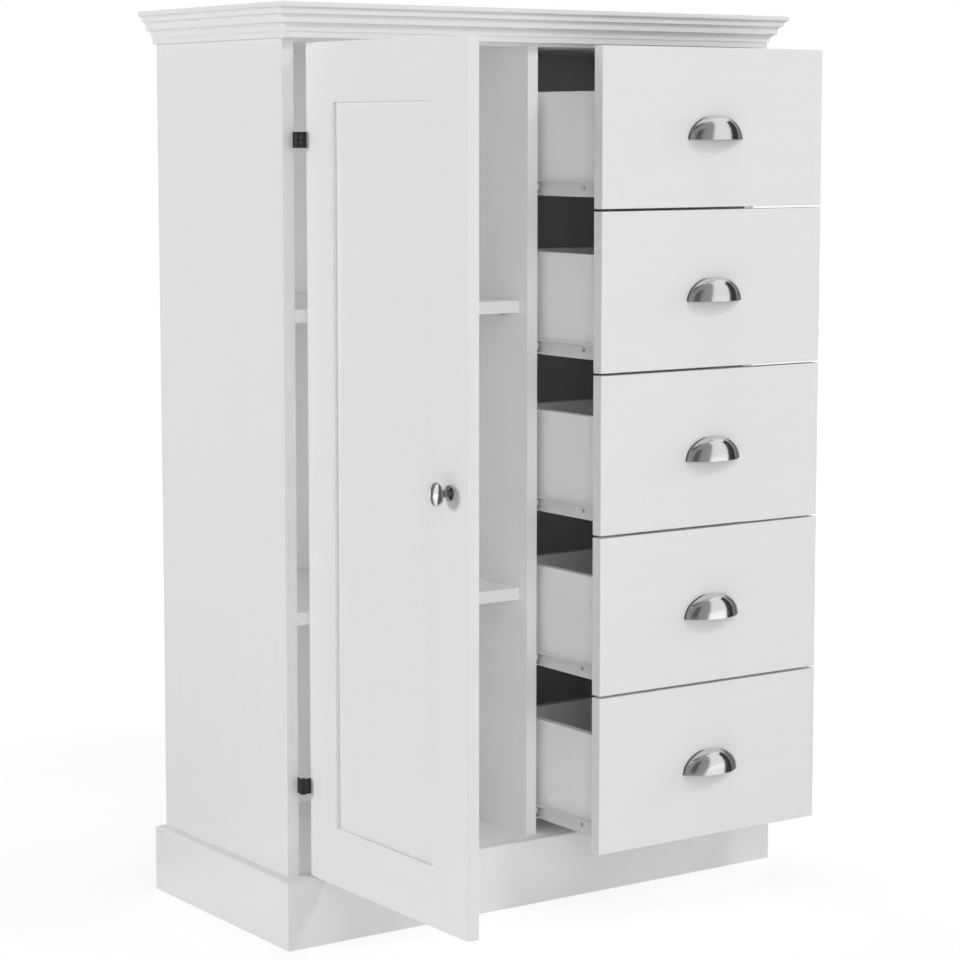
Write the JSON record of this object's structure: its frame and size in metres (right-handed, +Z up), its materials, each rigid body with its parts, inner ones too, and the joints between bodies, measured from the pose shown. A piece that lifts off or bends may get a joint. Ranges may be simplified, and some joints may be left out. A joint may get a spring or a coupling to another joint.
{
  "type": "chifforobe",
  "caption": "White cabinet on a plinth: a shelved cupboard bay behind an inset panelled door, beside a bank of drawers with cup pulls, under a moulded cornice.",
  "frame": {"origin": "on the floor, at the centre of the plinth's footprint, under the divider", "axes": "+Z up, +Y towards the back, +X to the right seen from the front"},
  "size_m": [0.8566, 0.7272, 1.25],
  "materials": {
    "white_board": "white foil with fine embossed grain, satin",
    "drawer_box": "plain white foil, matte",
    "back_board": "white hardboard, matte",
    "nickel": "brushed nickel",
    "black_steel": "black, satin",
    "runner_steel": "white epoxy coat",
    "roller_plastic": "nylon",
    "pin_steel": "zinc plated"
  },
  "bodies": {
    "carcass": {"left_side_panel": "white_board", "right_side_panel": "white_board", "centre_divider": "white_board", "bottom_panel": "white_board", "top_panel": "white_board", "back_panel": "back_board", "upper_shelf": "white_board", "lower_shelf": "white_board", "shelf_pins": "pin_steel", "plinth_front": "white_board", "plinth_left": "white_board", "plinth_right": "white_board", "plinth_rear_rail": "white_board", "plinth_centre_support": "white_board", "cornice_front": "white_board", "cornice_left": "white_board", "cornice_right": "white_board", "cornice_packer": "white_board", "top_board": "white_board", "hinge_cabinet_leaves": "black_steel", "hinge_pins": "black_steel", "cabinet_runners": "runner_steel", "cabinet_rollers": "roller_plastic"},
    "door": {"door_hinge_stile": "white_board", "door_latch_stile": "white_board", "door_top_rail": "white_board", "door_bottom_rail": "white_board", "door_panel": "white_board", "door_knob": "nickel", "hinge_door_leaves": "black_steel"},
    "drawer_1": {"drawer_1_front": "white_board", "drawer_1_sides": "drawer_box", "drawer_1_back": "drawer_box", "drawer_1_bottom": "drawer_box", "drawer_1_pull": "nickel", "drawer_1_runners": "runner_steel"},
    "drawer_2": {"drawer_2_front": "white_board", "drawer_2_sides": "drawer_box", "drawer_2_back": "drawer_box", "drawer_2_bottom": "drawer_box", "drawer_2_pull": "nickel", "drawer_2_runners": "runner_steel"},
    "drawer_3": {"drawer_3_front": "white_board", "drawer_3_sides": "drawer_box", "drawer_3_back": "drawer_box", "drawer_3_bottom": "drawer_box", "drawer_3_pull": "nickel", "drawer_3_runners": "runner_steel"},
    "drawer_4": {"drawer_4_front": "white_board", "drawer_4_sides": "drawer_box", "drawer_4_back": "drawer_box", "drawer_4_bottom": "drawer_box", "drawer_4_pull": "nickel", "drawer_4_runners": "runner_steel"},
    "drawer_5": {"drawer_5_front": "white_board", "drawer_5_sides": "drawer_box", "drawer_5_back": "drawer_box", "drawer_5_bottom": "drawer_box", "drawer_5_pull": "nickel", "drawer_5_runners": "runner_steel"}
  },
  "joints": [
    {"name": "door_hinge", "type": "hinge", "parent": "carcass", "child": "door", "pos_m": [-0.3824, -0.1679, 0.6463], "axis": [0, 0, -1], "range_deg": [-90, 20]},
    {"name": "drawer_1_slide", "type": "slide", "parent": "carcass", "child": "drawer_1", "axis": [0, -1, 0], "range_m": [-0.139, 0.051]},
    {"name": "drawer_2_slide", "type": "slide", "parent": "carcass", "child": "drawer_2", "axis": [0, -1, 0], "range_m": [-0.139, 0.051]},
    {"name": "drawer_3_slide", "type": "slide", "parent": "carcass", "child": "drawer_3", "axis": [0, -1, 0], "range_m": [-0.139, 0.051]},
    {"name": "drawer_4_slide", "type": "slide", "parent": "carcass", "child": "drawer_4", "axis": [0, -1, 0], "range_m": [-0.139, 0.051]},
    {"name": "drawer_5_slide", "type": "slide", "parent": "carcass", "child": "drawer_5", "axis": [0, -1, 0], "range_m": [-0.139, 0.051]}
  ]
}
